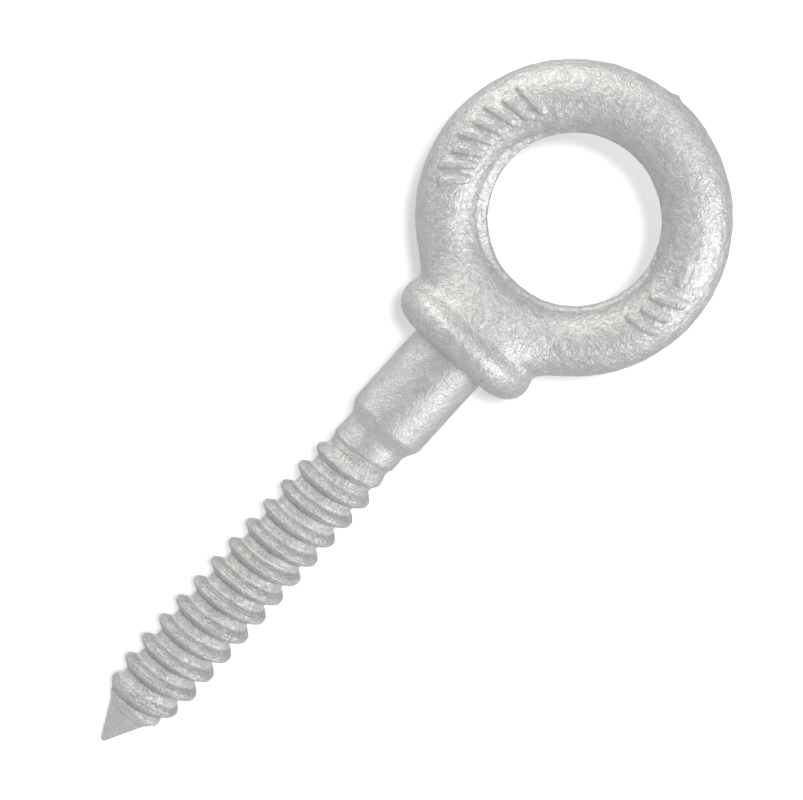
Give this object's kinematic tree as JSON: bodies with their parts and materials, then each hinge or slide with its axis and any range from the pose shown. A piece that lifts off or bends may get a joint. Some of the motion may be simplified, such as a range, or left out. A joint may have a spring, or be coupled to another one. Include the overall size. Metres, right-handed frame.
{
  "type": "shoulder screw eye bolt",
  "caption": "Forged galvanised screw eye bolt: round lifting eye on a shouldered neck, plain shank, right-hand lag thread and cone point for timber.",
  "frame": {"origin": "centre of the flat seat under the shoulder, where the plain shank meets it", "axes": "+Z along the shank towards the eye; the eye lies in the XZ plane and its bore runs along Y; the pictured face looks along -Y"},
  "size_m": [0.0604, 0.0304, 0.1671],
  "materials": {
    "galvanised_steel": "hot-dip galvanised forged steel: pale grey zinc, satin, with a fine crinkled and granular skin"
  },
  "bodies": {
    "root": {"eye_ring": "galvanised_steel", "eye_neck": "galvanised_steel", "shoulder_collar": "galvanised_steel", "plain_shank": "galvanised_steel", "thread_relief": "galvanised_steel", "lag_thread": "galvanised_steel", "cone_point": "galvanised_steel"}
  },
  "joints": []
}
